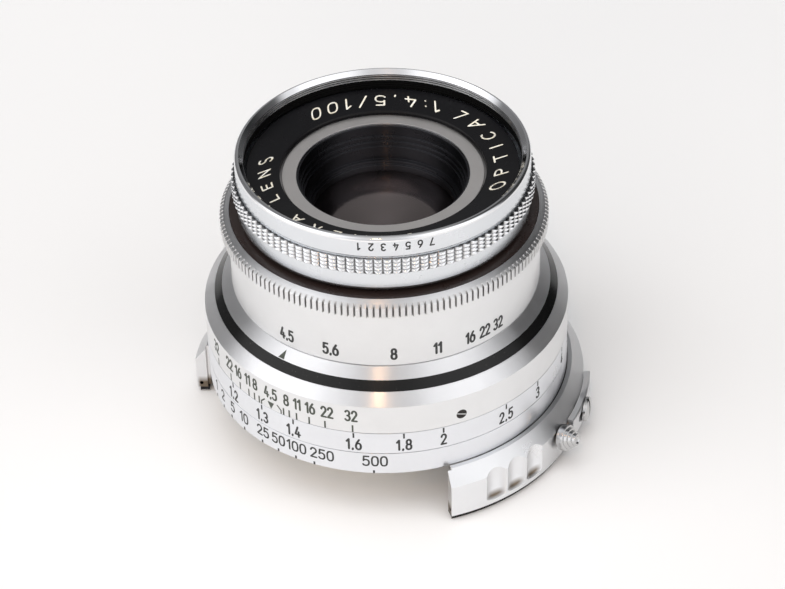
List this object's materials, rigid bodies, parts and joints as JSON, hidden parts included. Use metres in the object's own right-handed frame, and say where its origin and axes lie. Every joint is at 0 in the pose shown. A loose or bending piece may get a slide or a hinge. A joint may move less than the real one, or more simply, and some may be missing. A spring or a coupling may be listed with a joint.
{
  "type": "camera lens",
  "caption": "Metal camera lens with focusing ring, aperture ring and iris, speed ring, knurled front ring and a C-shaped bayonet collar with a latch.",
  "frame": {"origin": "on the optical axis in the rear face of the collar", "axes": "+Z along the optical axis towards the front glass, -Y towards the scale index"},
  "size_m": [0.0732, 0.0664, 0.0545],
  "materials": {
    "satin_aluminium": "fine satin, brushed round the axis",
    "satin_chrome": "satin chrome with filled engraving",
    "polished_chrome": "polished",
    "plate_steel": "fine ground",
    "plain_aluminium": "turned",
    "tube_brass": "turned",
    "dark_steel": "blued",
    "black_anodised": "matt black anodised",
    "black_enamel": "gloss black enamel",
    "blade_steel": "blackened spring steel",
    "front_glass": "coated, brown-pink reflection",
    "clear_glass": "coated"
  },
  "bodies": {
    "collar": {"wing_collar": "satin_aluminium", "base_plate": "plate_steel", "base_tube": "tube_brass", "tube_screws": "dark_steel", "collar_screws": "dark_steel", "lock_guide_screw": "polished_chrome"},
    "latch": {"lock_pad": "satin_aluminium", "lock_knob": "polished_chrome"},
    "barrel": {"inner_barrel": "black_anodised", "main_shell": "black_anodised", "scale_skirt": "satin_chrome", "black_band": "black_enamel", "bevel_ring": "polished_chrome", "skirt_screws": "dark_steel", "guide_keys": "dark_steel", "speed_carrier": "plain_aluminium", "speed_retainer": "plate_steel", "retainer_screws": "dark_steel", "flange_screws": "dark_steel", "aperture_retainer": "black_anodised", "front_ring": "polished_chrome", "name_ring": "black_anodised", "front_cell": "satin_aluminium", "front_retainer": "black_anodised", "front_element": "front_glass", "cell_spacer": "black_anodised", "second_element": "clear_glass", "iris_plate": "black_anodised", "rear_cell": "black_anodised", "third_element": "clear_glass", "fourth_element": "clear_glass", "rear_retainer": "black_anodised", "rear_baffle": "black_anodised"},
    "aperture_control": {"aperture_ring": "satin_chrome", "drive_screw": "dark_steel", "iris_cam_ring": "tube_brass"},
    "distance_control": {"distance_ring": "satin_chrome", "focus_nut": "tube_brass", "nut_screws": "dark_steel", "stop_pin": "dark_steel"},
    "speed_control": {"speed_ring": "satin_chrome"},
    "blade_01": {"iris_blade_01": "blade_steel"},
    "blade_02": {"iris_blade_02": "blade_steel"},
    "blade_03": {"iris_blade_03": "blade_steel"},
    "blade_04": {"iris_blade_04": "blade_steel"},
    "blade_05": {"iris_blade_05": "blade_steel"},
    "blade_06": {"iris_blade_06": "blade_steel"},
    "blade_07": {"iris_blade_07": "blade_steel"},
    "blade_08": {"iris_blade_08": "blade_steel"},
    "blade_09": {"iris_blade_09": "blade_steel"},
    "blade_10": {"iris_blade_10": "blade_steel"}
  },
  "joints": [
    {"name": "lock_push", "type": "hinge", "parent": "collar", "child": "latch", "pos_m": [0, 0, 0.0052], "axis": [0, 0, 1], "range_deg": [0, 4], "stiffness_Nm_per_rad": 0.05, "springref_deg": -11.46},
    {"name": "barrel_slide", "type": "slide", "parent": "collar", "child": "barrel", "axis": [0, 0, 1], "range_m": [-0.00907, 0.00103]},
    {"name": "focus_turn", "type": "hinge", "parent": "barrel", "child": "distance_control", "pos_m": [0, 0, 0.0165], "axis": [0, 0, 1], "range_deg": [-165.51, 18.88]},
    {"name": "speed_turn", "type": "hinge", "parent": "barrel", "child": "speed_control", "pos_m": [0, 0, 0.0125], "axis": [0, 0, 1], "range_deg": [-34, 38]},
    {"name": "aperture_turn", "type": "hinge", "parent": "barrel", "child": "aperture_control", "pos_m": [0, 0, 0.0345], "axis": [0, 0, 1], "range_deg": [-83.1, 0]},
    {"name": "blade_turn_01", "type": "hinge", "parent": "barrel", "child": "blade_01", "pos_m": [0.0169, 0, 0.0325], "axis": [0, 0, 1], "range_deg": [0, 33.34]},
    {"name": "blade_turn_02", "type": "hinge", "parent": "barrel", "child": "blade_02", "pos_m": [0.01367, 0.00993, 0.0325], "axis": [0, 0, 1], "range_deg": [0, 33.34]},
    {"name": "blade_turn_03", "type": "hinge", "parent": "barrel", "child": "blade_03", "pos_m": [0.00522, 0.01607, 0.0325], "axis": [0, 0, 1], "range_deg": [0, 33.34]},
    {"name": "blade_turn_04", "type": "hinge", "parent": "barrel", "child": "blade_04", "pos_m": [-0.00522, 0.01607, 0.0325], "axis": [0, 0, 1], "range_deg": [0, 33.34]},
    {"name": "blade_turn_05", "type": "hinge", "parent": "barrel", "child": "blade_05", "pos_m": [-0.01367, 0.00993, 0.0325], "axis": [0, 0, 1], "range_deg": [0, 33.34]},
    {"name": "blade_turn_06", "type": "hinge", "parent": "barrel", "child": "blade_06", "pos_m": [-0.0169, 0, 0.0325], "axis": [0, 0, 1], "range_deg": [0, 33.34]},
    {"name": "blade_turn_07", "type": "hinge", "parent": "barrel", "child": "blade_07", "pos_m": [-0.01367, -0.00993, 0.0325], "axis": [0, 0, 1], "range_deg": [0, 33.34]},
    {"name": "blade_turn_08", "type": "hinge", "parent": "barrel", "child": "blade_08", "pos_m": [-0.00522, -0.01607, 0.0325], "axis": [0, 0, 1], "range_deg": [0, 33.34]},
    {"name": "blade_turn_09", "type": "hinge", "parent": "barrel", "child": "blade_09", "pos_m": [0.00522, -0.01607, 0.0325], "axis": [0, 0, 1], "range_deg": [0, 33.34]},
    {"name": "blade_turn_10", "type": "hinge", "parent": "barrel", "child": "blade_10", "pos_m": [0.01367, -0.00993, 0.0325], "axis": [0, 0, 1], "range_deg": [0, 33.34]}
  ],
  "couplings": [
    {"joint": "focus_turn", "follows": "barrel_slide", "rad_per_m": 318.3},
    {"joint": "blade_turn_01", "follows": "aperture_turn", "ratio": -0.40096},
    {"joint": "blade_turn_02", "follows": "aperture_turn", "ratio": -0.40096},
    {"joint": "blade_turn_03", "follows": "aperture_turn", "ratio": -0.40096},
    {"joint": "blade_turn_04", "follows": "aperture_turn", "ratio": -0.40096},
    {"joint": "blade_turn_05", "follows": "aperture_turn", "ratio": -0.40096},
    {"joint": "blade_turn_06", "follows": "aperture_turn", "ratio": -0.40096},
    {"joint": "blade_turn_07", "follows": "aperture_turn", "ratio": -0.40096},
    {"joint": "blade_turn_08", "follows": "aperture_turn", "ratio": -0.40096},
    {"joint": "blade_turn_09", "follows": "aperture_turn", "ratio": -0.40096},
    {"joint": "blade_turn_10", "follows": "aperture_turn", "ratio": -0.40096}
  ]
}
